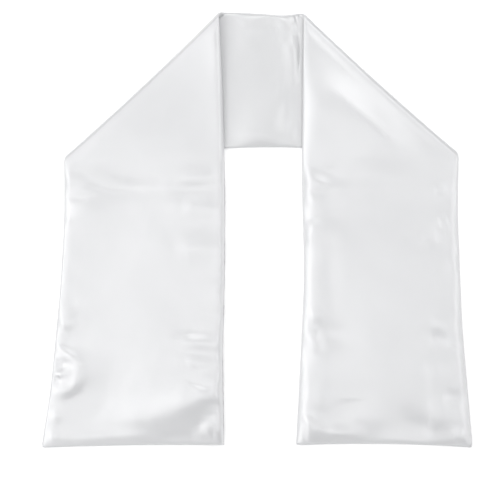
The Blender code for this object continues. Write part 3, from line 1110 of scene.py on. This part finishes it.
LIGHTS = table(
    Light,
    ("panel_left", -0.76, -0.275, 1, -0.76, -0.275, 0.88, 1.25, 5.8),
    ("panel_middle_left", -0.12, -0.14, 1, -0.12, -0.14, 0.24, 0.44, 0.48),
    ("panel_middle_right", 0.125, -0.2, 1, 0.125, -0.2, 0.25, 0.52, 0.62),
    ("panel_middle_far", -0.095, 0.18, 1, -0.095, 0.18, 0.29, 0.22, 0.1),
    ("panel_left_low", -1.6, 0.3, 0.95, 0, 0, 1.7, 2.4, 13),
    ("panel_right", 0.6, 0, 1, 0.6, 0, 0.36, 1.3, 2.4),
    ("panel_right_low", 1.35, 0, 0.8, 0, 0, 1.2, 1.6, 6),
    ("panel_far", 0.16, 0.7, 1, 0.16, 0.7, 0.88, 0.6, 4.1),
    ("panel_far_low", 0, 1.35, 0.8, 0, 0, 1.6, 1.2, 3.5),
    ("panel_near_low", 0, -1.35, 0.75, 0, 0, 1.6, 0.9, 3.4),
)

SKY_COLOUR = (0.95, 0.97, 1.0, 1.0)
SKY_STRENGTH = 0.12
# The floor, in metres: how far it reaches, and its height, a little under the cloth.
FLOOR_REACH = 6.0
FLOOR_HEIGHT = -0.0002
# The middle of the picture and the height of the cloth that its width is measured at, in metres.
PICTURE_X = -0.0050
PICTURE_Y = -0.0141
CLOTH_HEIGHT = 0.003


class STOLE_OT_studio(bpy.types.Operator):
    """Set up the pale floor, the soft lights and the camera straight above"""

    bl_idname = "stole.studio"
    bl_label = "Studio"

    def execute(self, context):
        studio = context.scene.stole_studio
        self.floor(studio)
        self.lights(context)
        self.camera(context, studio)
        context.scene.view_settings.view_transform = "Standard"
        return {"FINISHED"}

    def floor(self, studio):
        mesh = bpy.data.meshes.new("floor")
        corners = ((-1.0, -1.0), (1.0, -1.0), (1.0, 1.0), (-1.0, 1.0))
        points = [(x * FLOOR_REACH, y * FLOOR_REACH, FLOOR_HEIGHT) for x, y in corners]
        mesh.from_pydata(points, [], [(0, 1, 2, 3)])
        floor = new_object("floor", mesh)
        material, _, shader = new_material("floor_matte")
        set_inputs(shader, {
            "Base Color": (*studio.floor_colour, 1.0),
            "Roughness": 0.9,
            "Specular IOR Level": 0.1,
            # The table is lit from behind as well, so shadows on it stay faint.
            "Emission Color": (1.0, 1.0, 1.0, 1.0),
            "Emission Strength": studio.table_glow,
        })
        mesh.materials.append(material)

    def lights(self, context):
        for spec in LIGHTS:
            data = bpy.data.lights.new(spec.name, "AREA")
            data.shape = "RECTANGLE"
            data.size = spec.width
            data.size_y = spec.height
            data.energy = spec.power
            lamp = new_object(spec.name, data)
            lamp.location = (spec.x, spec.y, spec.z)
            away = Vector((spec.x - spec.face_x, spec.y - spec.face_y, spec.z))
            lamp.rotation_euler = away.to_track_quat("Z", "Y").to_euler()
            lamp.visible_camera = False
        world = bpy.data.worlds.new("studio")
        world.use_nodes = True
        set_inputs(world.node_tree.nodes["Background"], {"Color": SKY_COLOUR, "Strength": SKY_STRENGTH})
        context.scene.world = world

    def camera(self, context, studio):
        data = bpy.data.cameras.new("straight_above")
        data.sensor_width = 36.0
        data.lens = data.sensor_width * (studio.camera_height - CLOTH_HEIGHT) / studio.view_width
        data.clip_start = 0.01
        data.clip_end = 50.0
        camera = new_object("straight_above", data)
        camera.location = (PICTURE_X, PICTURE_Y, studio.camera_height)
        context.scene.camera = camera


class STOLE_PT_panel(bpy.types.Panel):
    """The steps that build the stole, and its sizes and colours"""

    bl_idname = "STOLE_PT_panel"
    bl_label = "Baptismal Stole"
    bl_space_type = "VIEW_3D"
    bl_region_type = "UI"
    bl_category = "Stole"

    def draw(self, context):
        layout = self.layout
        for operator in OPERATORS:
            layout.operator(operator.bl_idname)
        for group in (context.scene.stole_sizes, context.scene.stole_look, context.scene.stole_studio):
            box = layout.box()
            for name in group.bl_rna.properties.keys():
                if name not in ("rna_type", "name"):
                    box.prop(group, name)


OPERATORS = (STOLE_OT_neck_band, STOLE_OT_left_end, STOLE_OT_right_end, STOLE_OT_seams, STOLE_OT_studio)
GROUPS = {"stole_sizes": StoleSizes, "stole_look": StoleLook, "stole_studio": StoleStudio}


def register():
    for group in GROUPS.values():
        bpy.utils.register_class(group)
    for operator in OPERATORS:
        bpy.utils.register_class(operator)
    bpy.utils.register_class(STOLE_PT_panel)
    for name, group in GROUPS.items():
        setattr(bpy.types.Scene, name, bpy.props.PointerProperty(type=group))


def unregister():
    for name in GROUPS:
        delattr(bpy.types.Scene, name)
    bpy.utils.unregister_class(STOLE_PT_panel)
    for operator in reversed(OPERATORS):
        bpy.utils.unregister_class(operator)
    for group in reversed(tuple(GROUPS.values())):
        bpy.utils.unregister_class(group)


def main():
    register()
    bpy.ops.stole.studio()
    bpy.ops.stole.neck_band()
    bpy.ops.stole.left_end()
    bpy.ops.stole.right_end()
    bpy.ops.stole.seams()


if __name__ == "__main__":
    main()
